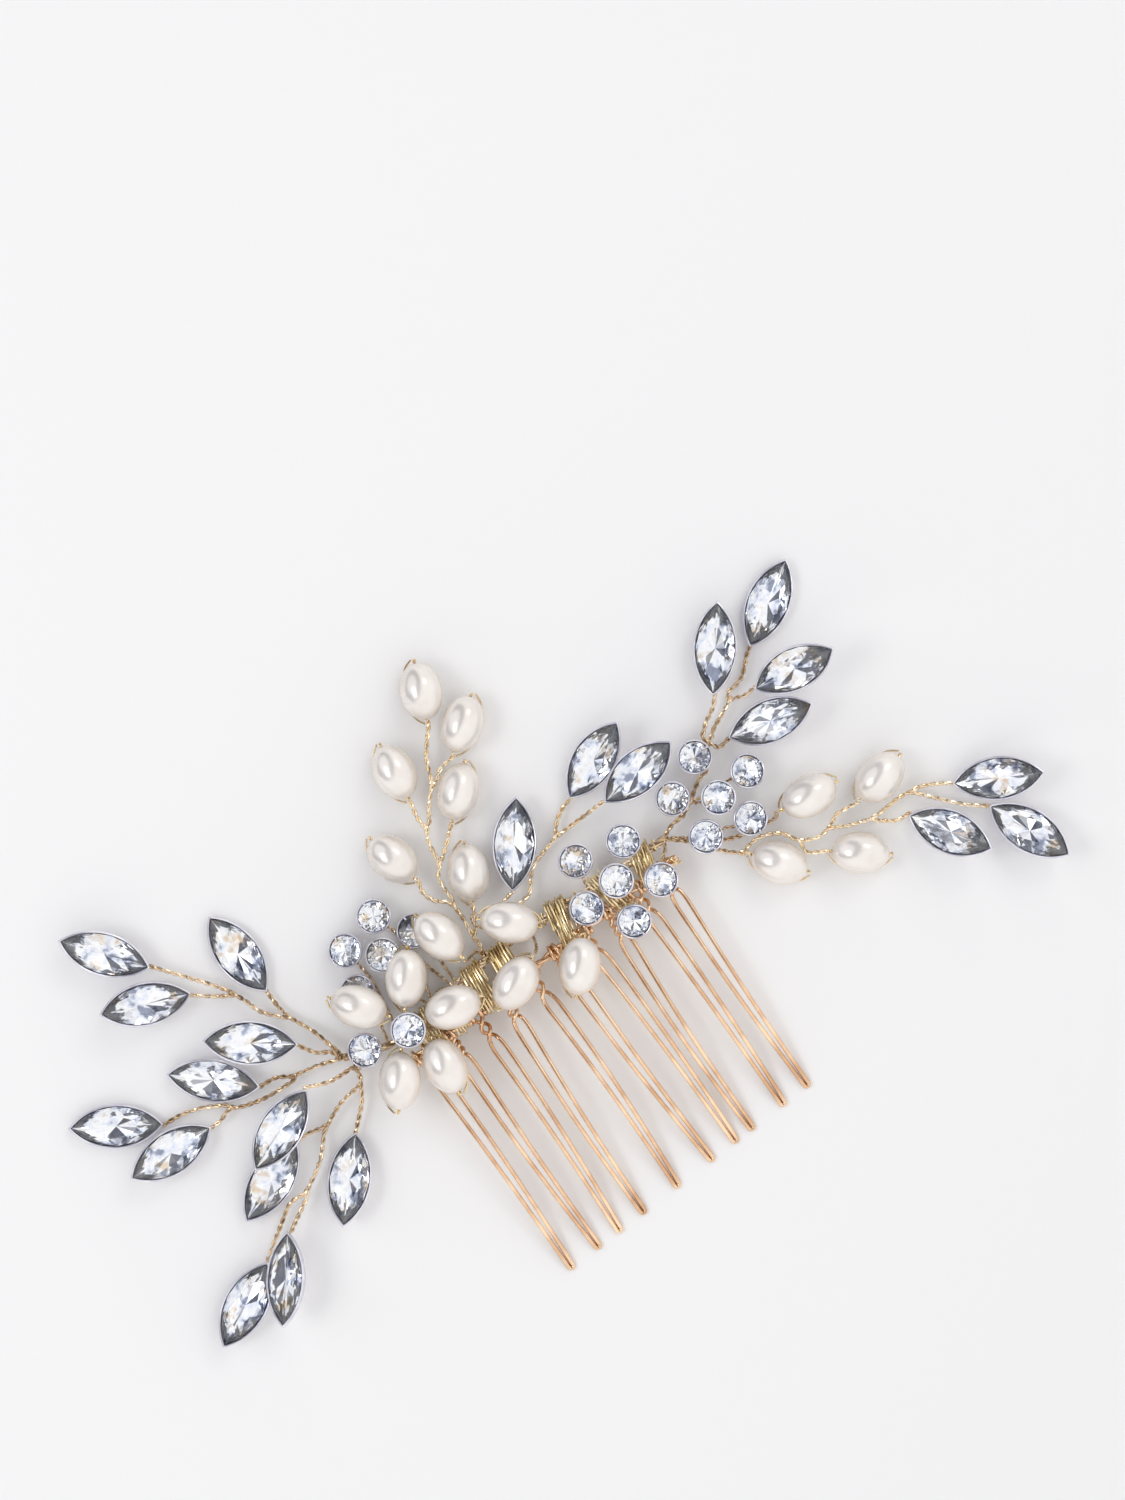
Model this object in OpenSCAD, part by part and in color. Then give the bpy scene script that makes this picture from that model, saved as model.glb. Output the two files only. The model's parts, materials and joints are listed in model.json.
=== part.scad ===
// Decorative hair comb: ten wire teeth on a spine, with bound bead and stone sprays.
// Millimetres. +X runs along the spine, the teeth point to -Y, and +Z faces out of the hair.

/* [Comb] */
// Number of wire teeth
tooth_count = 10; // [8:2:10]
// Distance from one tooth to the next
tooth_pitch = 5.25; // [5.2:0.05:5.3]
// Distance from the spine to the tooth tips
tooth_length = 41.5; // [38:0.5:44]
// Diameter of the wire that each tooth is bent from
tooth_wire_d = 0.66; // [0.6:0.02:0.7]
// Diameter of the spine rod
spine_d = 1.6; // [1.2:0.1:1.7]
// Height of the spine's axis over the surface the comb lies on
spine_z = 3.2; // [3.1:0.1:3.3]

/* [Stones] */
// Length of a pointed oval setting
navette_length = 15; // [14.8:0.1:15.2]
// Width of a pointed oval setting
navette_width = 7; // [6.8:0.1:7]
// Diameter of a round setting
round_d = 5.6; // [5.4:0.1:5.7]
// Thickness of a setting's metal wall
setting_wall = 0.3; // [0.25:0.05:0.3]

/* [Pearls] */
// Length of a pearl along its hole
pearl_length = 9.2; // [9:0.1:9.4]
// Diameter of a pearl across its middle
pearl_d = 6.6; // [6.4:0.1:6.6]
// Diameter of the hole through a pearl
pearl_bore_d = 0.9; // [0.9:0.05:1]

/* [Wire] */
// Diameter of a twisted pair of stem wires
stem_d = 0.8; // [0.7:0.05:0.8]
// Diameter of the single wire that returns along a pearl
return_wire_d = 0.36; // [0.3:0.02:0.4]

/* [Hidden] */
// The middle of the whole comb, measured from the middle of its spine
middle = [2.1, 4.3, 0];
gap = 0.06;
petal_z = 8;
// How far a pearl's own wire reaches past each end of the pearl
axle_reach = 0.7;
// Diameter of the wire through a pearl's hole
axle_d = stem_d - 0.1;
// How far below a pearl's side its return wire runs, as an angle round its hole
return_drop = 42;
// Gap between a stem's end and the wire through a pearl
stem_gap = 0.2;

// Pointed oval stones: [foot of the setting, lowest height, direction, tip's rise, roll]
A_STONES = [[[-49, 37], 1, 125, 10, -8], [[-47, 29.5], 0, 155, 18, 12], [[-37, 22.5], 0, 90, 0, 0]];
B_STONES = [[[-38, 13], 4.2, 140, 8, 10], [[-46.5, 11.5], 1.1, 135, -4, -10],
            [[-62.5, 16], 0, 145, 0, 0], [[-57, 11], 0.4, 175, 10, 6]];
C_STONES = [[[-41, 7], 4.6, -160, 0, -8], [[-47.5, 1], 0, -160, 0, 6], [[-39.5, -3.5], 0.6, -135, 8, 0],
            [[-63, -11], 0, -155, 8, -6], [[-56.5, -9.5], 2, -130, 6, 30]];
E_STONES = [[[3, 11.5], 2, 50, 0, 6], [[19.5, 17.5], 0, 20, 18, -8], [[23.5, 14], 4.4, 5, 20, 8]];
F_STONES = [[[47, 16.5], 1.6, 50, 8, -10], [[56, 19], 0, 30, 0, 0], [[53, 13.5], 2.4, -10, 25, 10],
            [[45, 9.5], 0, -15, 20, -6]];
G_STONES = [[[68.5, -17.5], 0, -30, 20, 6], [[70.5, -24], 0, -70, 15, -6], [[60, -17.5], 0, -60, 25, 6]];

// Round stones: [middle of the setting's back, tilt about X, tilt about Y]
LEFT_ROUNDS = [[[-16.5, 21.5, 2], -8, 4], [[-23, 20, 2], -8, -10], [[-19, 16, 3.4], 0, 4],
               [[-13, 16, 1.4], 0, 8], [[-25.5, 14, 1.6], 6, -6], [[-19.5, 10, 1.2], 0, 0]];
MIDDLE_ROUNDS = [[[21.5, 7, 5], -8, 8], [[14, 9, 5], -12, -4], [[17, 3, 6.4], 0, 4],
                 [[22.5, -1, 5.3], 8, 10], [[11, 2.5, 5.2], 4, -10], [[15.5, -3.5, 5], 12, -4]];
RIGHT_ROUNDS = [[[38.5, 10.5, 3], -10, 4], [[43.5, 4, 3], 2, 12], [[32, 7.5, 3.6], -8, -8],
                [[37.5, 3.5, 5], 0, 4], [[39.5, -2, 3], 10, 6], [[32.5, 0, 3.6], 8, -8]];
FLOWER_ROUNDS = [[[-22.5, 4.5, 9.7], 0, 0], [[-30, 6, 3.9], 0, -8]];

// Pearls: [middle, heading of the hole, height, side that the return wire runs along]
PEARLS = [
    [[11, 45], 65, 3.6, 1], [[13, 37], 35, 3.6, -1], [[0, 37.5], 80, 3.6, 1], [[6, 29], 40, 3.6, -1],
    [[-8.5, 27], 100, 3.4, 1], [[-0.5, 18], 60, 3.4, 1], [[49, -5], -10, 4.6, 1],
    [[59.5, -9.5], 10, 3.6, 1],
    [[39, -10.5], -55, 3.4, -1], [[50, -17], -40, 3.4, -1], [[-18, 11], 50, petal_z, 1],
    [[-26.5, 12], 125, petal_z + 0.4, 1], [[-15, 3], -15, petal_z + 0.4, -1],
    [[-21.5, -3.5], -100, petal_z, 1], [[-28.5, -1], -130, petal_z + 0.6, -1],
    [[-10, 13], 100, 7.2, 1], [[0, 8], -45, 7.8, 1], [[-5, 0], -160, 8.5, -1], [[4.5, -4], -135, 8, -1]];
D_PEARLS = [0, 1, 2, 3, 4, 5];
G_PEARLS = [7, 8, 9];
ROOT_PEARLS = [6, 10, 11, 12, 13, 14, 15, 16, 17, 18];

// Routes of the twisted stem wires: points picked along each bend, [x, y, z]
A_WIRES = [
    [[-34, 9.5, 3], [-35, 13.5, 2.6], [-36.5, 17, 1.8], [-37, 19.5, 1.4], foot(A_STONES[2])],
    [[-37.5, 18, 2], [-39.5, 20.5, 2], [-40.5, 23.5, 1.8], [-41.5, 26, 1.8]],
    [[-42.5, 26, 1.8], [-44.5, 27.5, 1.6], foot(A_STONES[1])],
    [[-42, 27, 1.8], [-44, 30, 1.9], [-46.5, 33.5, 2], foot(A_STONES[0])]];
B_WIRES = [
    [[-34.5, 9, 4.3], [-36.5, 10.5, 5], foot(B_STONES[0])],
    [[-35, 7.5, 3], [-37.5, 8.5, 2.8], [-41.5, 9.5, 2.2]],
    [[-42.5, 10, 2], [-44, 11, 1.9], foot(B_STONES[1])],
    [[-42.5, 9, 2], [-47, 9.5, 2.4], [-50.5, 10.5, 2.2], [-52.5, 11.5, 1.8]],
    [[-53, 12.5, 1.7], [-56.5, 14.5, 1.4], [-59.5, 15.5, 1.2], foot(B_STONES[2])],
    [[-53.5, 11.5, 1.7], [-55, 11, 1.6], foot(B_STONES[3])]];
C_WIRES = [
    [[-33.5, 5, 4.4], [-37.5, 5.5, 5.4], foot(C_STONES[0])],
    [[-33.5, 3, 2.6], [-34.5, 1.5, 2.4], [-36, -0.5, 2], foot(C_STONES[2])],
    [[-35.5, 2, 2.4], [-39, 1.5, 2.2], [-42.5, 0, 2]],
    [[-43.5, 0.5, 1.9], [-45.5, 1, 1.6], foot(C_STONES[1])],
    [[-43.5, -0.5, 1.9], [-46.5, -3.5, 2.4], [-51, -6, 2.4]],
    [[-52, -6, 2.3], [-54.5, -6, 2], [-58, -8, 1.8], foot(C_STONES[3])],
    [[-52, -7, 2.4], [-54, -8, 2.8], foot(C_STONES[4])]];
D_WIRES = [
    [[-6, 8, 2.6], [-6, 10, 2.8], [-5.5, 13, 3], [-5.5, 15.5, 3]],
    [[-6, 16.5, 3], [-7.5, 18, 3.2], [-8, 20, 3.4], near(4)],
    [[-5, 16.5, 3], [-5, 18.5, 3.2], [-4.5, 20.5, 3.3], [-3, 22, 3.3]],
    [[-2, 22.5, 3.4], [0, 24, 3.5], near(3)],
    [[-3, 23, 3.3], [-2.5, 25.5, 3.4], [-1.5, 27.5, 3.5]],
    [[-1.5, 28.5, 3.5], [-1.5, 30, 3.6], near(2)],
    [[-0.5, 28, 3.5], [1, 30, 3.5], [3.5, 32.5, 3.6]],
    [[4, 33.5, 3.6], [5.5, 36.5, 3.6], near(0)],
    [[4.5, 32.5, 3.6], [6, 33.5, 3.6], near(1)],
    [[-5, 10.5, 2.7], [-4, 12, 3], near(5)]];
E_WIRES = [
    [[1, 10, 2.8], [1, 11, 3], foot(E_STONES[0])],
    [[5, 9.5, 2.4], [6, 10.5, 2.2], [8, 12.5, 2], [11.5, 13.5, 1.8], [14, 14, 1.8]],
    [[14.5, 15, 1.7], [15.5, 16, 1.5], [17.5, 17, 1.3], foot(E_STONES[1])],
    [[15, 14, 1.9], [18, 14, 3.4], [21, 14, 5.2], foot(E_STONES[2])]];
F_WIRES = [
    [[41.5, 12.5, 2.6], [43.5, 14, 2.8], [45.5, 15, 2.8], foot(F_STONES[0])],
    [[42.5, 11.5, 2.4], [44, 12.5, 2], [46.5, 13.5, 1.8], [48.5, 14.5, 1.8]],
    [[49, 15.5, 1.8], [52, 16, 1.6], [54.5, 18, 1.3], foot(F_STONES[1])],
    [[49.5, 14, 1.9], [51, 13.5, 2.8], foot(F_STONES[2])],
    [[42.5, 9.5, 2], [43.5, 9.5, 1.5], foot(F_STONES[3])]];
G_WIRES = [
    [[36.5, -5.5, 3], [39, -5.5, 2.8], [42, -7, 2.6], [43.5, -9.5, 2.6], [46, -11, 2.6], [48.5, -11, 2.8]],
    [[35.5, -5.5, 3.4], near(8)],
    [[43.5, -10.5, 2.6], [43.5, -12, 2.9], near(9)],
    [[49.5, -10.5, 2.9], [51, -10, 3.2], near(7)],
    [[49.5, -11.5, 2.8], [51, -12.5, 2.6], [53.5, -13.5, 2.2], [55, -14, 2]],
    [[55.5, -15, 1.9], [57.5, -16.5, 1.6], foot(G_STONES[2])],
    [[56, -14, 2], [58, -14, 1.9], [60.5, -14, 1.8], [62.5, -14.5, 1.7]],
    [[63.5, -14.5, 1.6], [65.5, -15.5, 1.4], foot(G_STONES[0])],
    [[63, -15.5, 1.6], [65, -18, 1.5], [67.5, -21, 1.4], foot(G_STONES[1])]];

// The bound bundle that carries the sprays, and the strands that branch off it
BUNDLE = [
    [[-33.5, 7, 3.2], [-29, 5, 2.4], [-25, 4, 2.6], [-18, 4.5, 2.8], [-8, 5.5, 2.8], [6, 5, 2.9],
     [16, 4, 2.9], [27, 3.5, 2.9]],
    [[28, 4, 2.9], [29.5, 4.5, 2.6], [31.5, 4.5, 2.2], [34.5, 6, 2.2], [37, 7.5, 2.2], [39, 8, 2.2],
     [41, 10.5, 2.3]],
    [[28, 2.5, 2.9], [30, 0.5, 2.6], [33, -3.5, 2.6], [35, -5.5, 3]],
    [[31, 0.5, 2.2], [34.5, -2.5, 1.8], [38.5, -4, 1.7], [41.5, -4.5, 2], [43, -4.5, 3.4],
     near(6) - [0.4, 0, 0]]];
// Thin stalks from the bundle up to the back of each round setting and to the pearls that stand on it
STALKS = [
    [[-13.5, 6.5, 2.4], [-15, 12, 0.6], [-15.5, 18, 0.5], back(LEFT_ROUNDS[0])],
    [[-24.5, 5, 2.2], [-23, 13, 0.6], [-23, 17, 0.5], back(LEFT_ROUNDS[1])],
    [[-17, 6.5, 2.4], [-16, 11.5, 1.2], [-18, 14.5, 1.8], back(LEFT_ROUNDS[2])],
    [[-12.5, 6.5, 2.4], [-12.5, 11, 0.6], [-13, 14, 0.5], back(LEFT_ROUNDS[3])],
    [[-26.5, 5.5, 2.2], [-25.5, 10, 0.7], [-25.5, 13, 0.5], back(LEFT_ROUNDS[4])],
    [[-18, 5.5, 2.2], [-19, 7.5, 0.8], [-19.5, 9, 0.5], back(LEFT_ROUNDS[5])],
    [[21, 4.5, 2.9], [21, 6, 3.2], back(MIDDLE_ROUNDS[0])],
    [[13, 5.5, 2.9], [13.5, 7.5, 3.2], back(MIDDLE_ROUNDS[1])],
    [[17.5, 3, 3.7], [17, 3, 4.8], back(MIDDLE_ROUNDS[2])],
    [[26, 2, 3.7], [24.5, 1, 4.2], back(MIDDLE_ROUNDS[3])],
    [[11, 3.5, 3.6], [11, 3, 4.2], back(MIDDLE_ROUNDS[4])],
    [[17.5, -1, 4.1], [16.5, -2.5, 4.3], back(MIDDLE_ROUNDS[5])],
    [[38, 8.5, 2.2], [38.5, 9.5, 2], back(RIGHT_ROUNDS[0])],
    [[35.5, 5, 1.6], [40.5, 4.5, 1.3], back(RIGHT_ROUNDS[1])],
    [[31.5, 5.5, 2.4], [32, 6.5, 2.6], back(RIGHT_ROUNDS[2])],
    [[35, 4.5, 2.4], [37, 4, 3.4], back(RIGHT_ROUNDS[3])],
    [[35.5, -1, 2.6], [37.5, -2, 2.3], back(RIGHT_ROUNDS[4])],
    [[31.5, 0.5, 3], [32, 0, 3], back(RIGHT_ROUNDS[5])],
    [[-22.5, 4.5, 4], [-22.5, 4.5, 6], back(FLOWER_ROUNDS[0])],
    [[-30, 7, 2.6], [-30, 6.5, 3.2], back(FLOWER_ROUNDS[1])],
    [[-7, 7.5, 2.6], [-8, 7.5, 4.6], near(15) - [0, 0.2, 0.3]],
    [[-1.5, 6.5, 2.8], [-3, 8.5, 4.8], [-4.5, 11, 6.6], near(16) + [-0.3, 0.3, 0]],
    [[1.5, 4, 2.9], [1, 2.5, 6.2], near(17) + [0.3, 0.1, 0]],
    [[8, 0.5, 4.5], [8, 0, 6.4], near(18) + [0, 0.2, -0.2]]];

// Bound places, each between two teeth: [gap counted from the spine's middle, lean of the turns, highest Y]
WRAPS = [[-4, 0.5, 6], [-3, 0, 6.5], [-2, 0.5, 7], [-1, 0.5, 7], [1, 1, 7], [3, -0.5, 6], [4, 1, 5.5]];
wrap_turns = 3;
wrap_spacing = 1;
wrap_wire_d = 0.5;
wrap_height = 3.5;
wrap_low_y = -1.7;

// Each tooth's sideways lean at its tip, its sideways bow, and the length of its close neck
tooth_lean = [-2, -2, -3, -3.5, -2, -0.5, -1, -3, -2, -2.5];
tooth_bow = [0.4, -0.3, 0.5, -0.4, 0.6, -0.3, 0.4, -0.6, 0.3, -0.4];
neck_length = [3.4, 4, 4.6, 4.4, 4.4, 4.6, 4, 4.6, 4.2, 3.8];

gold = [0.80, 0.60, 0.33];
rose_gold = [0.88, 0.64, 0.42];
pearl_white = [0.94, 0.90, 0.84];
silver = [0.72, 0.70, 0.76];
crystal = [0.88, 0.91, 0.96];

function pearl_name(k) = str("pearl_", k < 9 ? "0" : "", k + 1);
function tooth_name(k) = str("comb_tooth_", k < 9 ? "0" : "", k + 1);
SPRAY_NAMES = ["a", "b", "c", "e", "f", "g"];
SPRAY_WIRES = [A_WIRES, B_WIRES, C_WIRES, E_WIRES, F_WIRES, G_WIRES];
SPRAY_STONES = [A_STONES, B_STONES, C_STONES, E_STONES, F_STONES, G_STONES];
SPRAY_PEARLS = [[], [], [], [], [], G_PEARLS];
CLUSTER_NAMES = ["left_cluster", "middle_cluster", "right_cluster", "flower"];
CLUSTERS = [LEFT_ROUNDS, MIDDLE_ROUNDS, RIGHT_ROUNDS, FLOWER_ROUNDS];

// ---- vectors and swept wires ----
function unit(v) = v / norm(v);
function heading(a) = [cos(a), sin(a), 0];

// A smooth curve through hand-placed points (Catmull-Rom), with `steps` stretches between two points
function between(a, b, c, d, t) =
    0.5 * (2 * b + (c - a) * t + (2 * a - 5 * b + 4 * c - d) * t * t + (3 * b - a - 3 * c + d) * t * t * t);
function smooth(p, steps) = let (last = len(p) - 1) concat(
    [for (i = [0:last - 1], s = [0:steps - 1])
        between(p[max(i - 1, 0)], p[i], p[i + 1], p[min(i + 2, last)], s / steps)],
    [p[last]]);

function tangents(p) = let (last = len(p) - 1)
    [for (i = [0:last]) unit(p[min(i + 1, last)] - p[max(i - 1, 0)])];
// The side direction carried along the curve without twist
function carried(t, side, i = 0) = i == len(t) ? [] :
    let (s = unit(side - (side * t[i]) * t[i])) concat([s], carried(t, s, i + 1));

// A round wire swept along points as one closed polyhedron
module wire(points, d, sides = 6) {
    t = tangents(points);
    start_side = abs(t[0][2]) > 0.8 ? [1, 0, 0] : [0, 0, 1];
    s = carried(t, start_side);
    rings = len(points);
    corners = [for (i = [0:rings - 1], k = [0:sides - 1]) let (a = 360 * k / sides)
        points[i] + d / 2 * (cos(a) * s[i] + sin(a) * cross(t[i], s[i]))];
    walls = [for (i = [0:rings - 2], k = [0:sides - 1])
        let (a = i * sides + k, b = i * sides + (k + 1) % sides)
        each [[a, b + sides, b], [a, a + sides, b + sides]]];
    first_cap = [[for (k = [0:sides - 1]) k]];
    last_cap = [[for (k = [0:sides - 1]) rings * sides - 1 - k]];
    polyhedron(points = corners, faces = concat(first_cap, walls, last_cap));
}

module stems(routes) {
    for (r = routes) wire(smooth(r, 3), stem_d);
}

// ---- stones and their settings ----
navette_girdle_z = 1.4;
navette_rim_z = 1.7;
// How far a pointed oval stone rises over its girdle, and how deep its point is below it
navette_crown = 1;
navette_depth = 0.85;
stone_clearance = 0.1;
// The size of each ring of facets against the girdle, and its height against the crown or the depth
table_scale = 0.56;
star_scale = 0.8;
star_height = 0.6;
back_scale = 0.5;
back_height = 0.62;
// The radius of the two arcs whose overlap is a pointed oval of half-length a and half-width b
function arc_radius(a, b) = (a * a + b * b) / (2 * b);

// A point at turn t (0 to 1) round a pointed oval
function navette_edge(t, a, b) = let (r = arc_radius(a, b), x = a * cos(360 * t))
    [x, sign(sin(360 * t)) * (sqrt(r * r - x * x) - (r - b))];
function round_edge(t, r) = r * [cos(360 * t), sin(360 * t)];

// A cut stone from its outline's 16 points: table, star, kite and girdle facets, then a pointed back
module cut_stone(girdle, star, table, girdle_z, crown, depth) {
    raised = function (p, scale, z) [p[0] * scale, p[1] * scale, z];
    top = [for (k = [0:7]) raised(table[k], table_scale, girdle_z + crown)];
    stars = [for (k = [0:7]) raised(star[k], star_scale, girdle_z + crown * star_height)];
    edge = [for (k = [0:15]) raised(girdle[k], 1, girdle_z)];
    backs = [for (k = [0:7]) raised(star[k], back_scale, girdle_z - depth * back_height)];
    culet = [[0, 0, girdle_z - depth]];
    // Where the star, edge, back and culet points start in the list of points
    S = 8;
    E = 16;
    B = 32;
    C = 40;
    faces = concat(
        [[for (k = [7:-1:0]) k]],
        [for (k = [0:7]) let (n = (k + 1) % 8, p = (k + 7) % 8, g = E + 2 * k, h = E + (2 * k + 1) % 16,
                              m = E + (2 * k + 2) % 16) each [
            [k, n, S + k], [k, S + k, g], [k, g, S + p], [S + k, h, g], [S + k, m, h],
            [B + k, g, h], [B + k, h, m], [C, g, B + k], [C, B + p, g]]]);
    polyhedron(points = concat(top, stars, edge, backs, culet), faces = faces);
}

module navette_stone() {
    r = arc_radius(navette_length / 2, navette_width / 2);
    b = navette_width / 2 - setting_wall - stone_clearance;
    inner = r - setting_wall - stone_clearance;
    a = sqrt(inner * inner - pow(r - navette_width / 2, 2));
    girdle = [for (k = [0:15]) navette_edge(k / 16, a, b)];
    star = [for (k = [0:7]) navette_edge((k + 0.5) / 8, a, b)];
    table = [for (k = [0:7]) navette_edge(k / 8, a, b)];
    cut_stone(girdle, star, table, navette_girdle_z, navette_crown, navette_depth);
}

module pointed_oval(r, offset_y, height) {
    intersection() {
        translate([0, -offset_y, 0]) cylinder(h = height, r = r, $fn = 96);
        translate([0, offset_y, 0]) cylinder(h = height, r = r, $fn = 96);
    }
}

module navette_setting() {
    r = arc_radius(navette_length / 2, navette_width / 2);
    offset_y = r - navette_width / 2;
    difference() {
        pointed_oval(r, offset_y, navette_rim_z);
        translate([0, 0, setting_wall]) pointed_oval(r - setting_wall, offset_y, navette_rim_z);
    }
}

round_girdle_z = 1.2;
round_crown = 0.8;
round_depth = 0.7;
round_rim_z = 1.5;
// Radius of a round setting's flat back, and the height where its wall turns upright
round_back_r = 1.9;
round_wall_z = 0.95;
module round_stone() {
    r = round_d / 2 - setting_wall - stone_clearance;
    girdle = [for (k = [0:15]) round_edge(k / 16, r)];
    star = [for (k = [0:7]) round_edge((k + 0.5) / 8, r)];
    table = [for (k = [0:7]) round_edge(k / 8, r)];
    cut_stone(girdle, star, table, round_girdle_z, round_crown, round_depth);
}

claw_count = 4;
claw_width = 0.6;
claw_thickness = 0.2;
// How far a claw reaches over the stone, how far it stands in from the rim, and its two heights
claw_reach = 0.6;
claw_inset = 0.05;
claw_foot_z = 1.1;
claw_tip_z = 1.66;
module round_setting() {
    r = round_d / 2;
    inner_r = r - setting_wall;
    rotate_extrude($fn = 64) polygon([[0, 0], [round_back_r, 0], [r, round_wall_z], [r, round_rim_z],
        [inner_r, round_rim_z], [inner_r, round_wall_z + 0.1], [round_back_r - setting_wall, setting_wall],
        [0, setting_wall]]);
    for (k = [0:claw_count - 1]) rotate([0, 0, 45 + 360 * k / claw_count])
        translate([0, -claw_width / 2, 0]) {
        translate([r - claw_inset - claw_reach, 0, claw_tip_z])
            cube([claw_reach, claw_width, claw_thickness]);
        translate([r - claw_inset - claw_thickness, 0, claw_foot_z])
            cube([claw_thickness, claw_width, claw_tip_z + claw_thickness - claw_foot_z]);
    }
}

// Stand a pointed oval on its foot: the foot's bottom corner is at the stated lowest height
module set_navette(s) {
    translate([s[0][0], s[0][1], lifted(s)]) rotate([0, 0, s[2]]) rotate([0, -s[3], 0])
        translate([navette_length / 2, 0, 0]) rotate([s[4], 0, 0]) children();
}
module set_round(s) {
    translate(s[0]) rotate([s[1], s[2], 0]) children();
}

// A rolled stone is lifted until its lower edge is at its lowest height
function lifted(s) = s[1] + navette_width / 2 * sin(abs(s[4]));

// Where a stem meets a pointed oval's foot, and where a stalk meets a round setting's back
function foot(s) = [s[0][0], s[0][1], lifted(s)] - 0.2 * heading(s[2])
    + 1.1 * [-sin(s[3]) * cos(s[2]), -sin(s[3]) * sin(s[2]), cos(s[3])];
function back(s) = s[0] - [0, 0, 0.22];

// ---- pearls ----
function pearl_middle(k) = [PEARLS[k][0][0], PEARLS[k][0][1], PEARLS[k][2]];
function pearl_axis(k) = heading(PEARLS[k][1]);
// Where the stem meets the wire that runs through a pearl
function near(k) = pearl_middle(k) - (pearl_length / 2 + axle_reach + stem_gap) * pearl_axis(k);

// Turn from +Z to a level heading
module along(angle) {
    rotate([0, 90, angle]) children();
}

module pearl(k) {
    r = pearl_d / 2;
    bore_r = pearl_bore_d / 2;
    // The profile is an ellipse that stops where it meets the bore
    cut = asin(bore_r / r);
    turns = [for (s = [0:16]) cut + (180 - 2 * cut) * s / 16];
    profile = [for (a = turns) [r * sin(a), -pearl_length / 2 * cos(a)]];
    translate(pearl_middle(k)) along(PEARLS[k][1]) rotate_extrude($fn = 64) polygon(profile);
}

// The wire through a pearl's hole and its return along the outside
module bead_wire(k) {
    axis = pearl_axis(k);
    side = PEARLS[k][3] * cos(return_drop) * [-axis[1], axis[0], 0] - [0, 0, sin(return_drop)];
    bow = pearl_d / 2 + return_wire_d / 2 + 0.15;
    reach = pearl_length / 2 + axle_reach;
    translate(pearl_middle(k) - reach * axis)
        along(PEARLS[k][1]) cylinder(h = 2 * reach - 0.3, d = axle_d, $fn = 32);
    wire([for (a = [12:26:168]) pearl_middle(k) + (reach - 0.1) * cos(a) * axis + bow * sin(a) * side],
        return_wire_d);
}

// ---- the comb ----
module comb_spine() {
    length = tooth_pitch * (tooth_count - 1) + 7;
    color(rose_gold) translate([-length / 2, 0, spine_z] - middle)
        rotate([0, 90, 0]) cylinder(h = length, d = spine_d, $fn = 48);
}

// One tooth: a wire bent double, with a close neck at the spine and legs that close again at the tip
module comb_tooth(k) {
    x = tooth_pitch * (k - (tooth_count - 1) / 2);
    top_y = -spine_d / 2 - gap;
    neck = neck_length[k % len(neck_length)];
    lean = tooth_lean[k % len(tooth_lean)];
    bow = tooth_bow[k % len(tooth_bow)];
    turn_r = tooth_wire_d / 2 + 0.05;
    end_y = -tooth_length + turn_r + tooth_wire_d / 2;
    leg_half = 1;
    // How far each leg is from the middle of the tooth at a place down its length
    spread = function (y) let (down = top_y - y, run = (y + neck) / (end_y + neck))
        down < neck - 1.2 ? turn_r
        : down < neck ? (turn_r + leg_half) / 2
        : leg_half + (turn_r - leg_half) * pow(run, 1.2);
    // How high the tooth is over the surface, from the spine down to its tip
    drop = function (y) let (run = y / end_y)
        tooth_wire_d / 2 + (spine_z - tooth_wire_d / 2) * (1 - pow(run, 2.2)) + 0.6 * sin(180 * run);
    shift = function (y) let (run = y / end_y) x + lean * run + bow * sin(180 * run);
    neck_y = top_y - neck;
    stations = [top_y, neck_y + 1.4, neck_y + 0.4, neck_y - 1.2, -12, -18, -24, -30, -36, end_y];
    left = [for (y = stations) [shift(y) - spread(y), y, drop(y)]];
    right = [for (i = [len(stations) - 1:-1:0]) let (y = stations[i]) [shift(y) + spread(y), y, drop(y)]];
    tip = [for (a = [30:30:150]) [shift(end_y) - turn_r * cos(a), end_y - turn_r * sin(a), drop(end_y)]];
    color(rose_gold) translate(-middle) wire(concat(left, tip, right), tooth_wire_d, 8);
}

// Turns of binding wire round the spine and the bundle: oval rings that lean along the spine
module binding_wire() {
    color(gold) translate(-middle) for (w = WRAPS, k = [0:wrap_turns - 1]) if (abs(w[0]) < tooth_count / 2) {
        x = tooth_pitch * w[0] + wrap_spacing * (k - (wrap_turns - 1) / 2);
        half_y = (w[2] - wrap_low_y) / 2;
        points = [for (a = [8:43:352]) [x + w[1] * (1 + sin(a)), wrap_low_y + half_y * (1 + sin(a)),
            spine_z - 0.2 + wrap_height / 2 * cos(a)]];
        wire(points, wrap_wire_d);
    }
}

module vine_wires() {
    color(gold) translate(-middle) {
        for (r = BUNDLE) wire(smooth(r, 3), r == BUNDLE[0] ? 1.4 : stem_d, 8);
        for (r = STALKS) wire(smooth(r, 2), 0.6);
    }
}

module bead_wires(pearls) {
    color(gold) translate(-middle) for (k = pearls) bead_wire(k);
}

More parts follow.
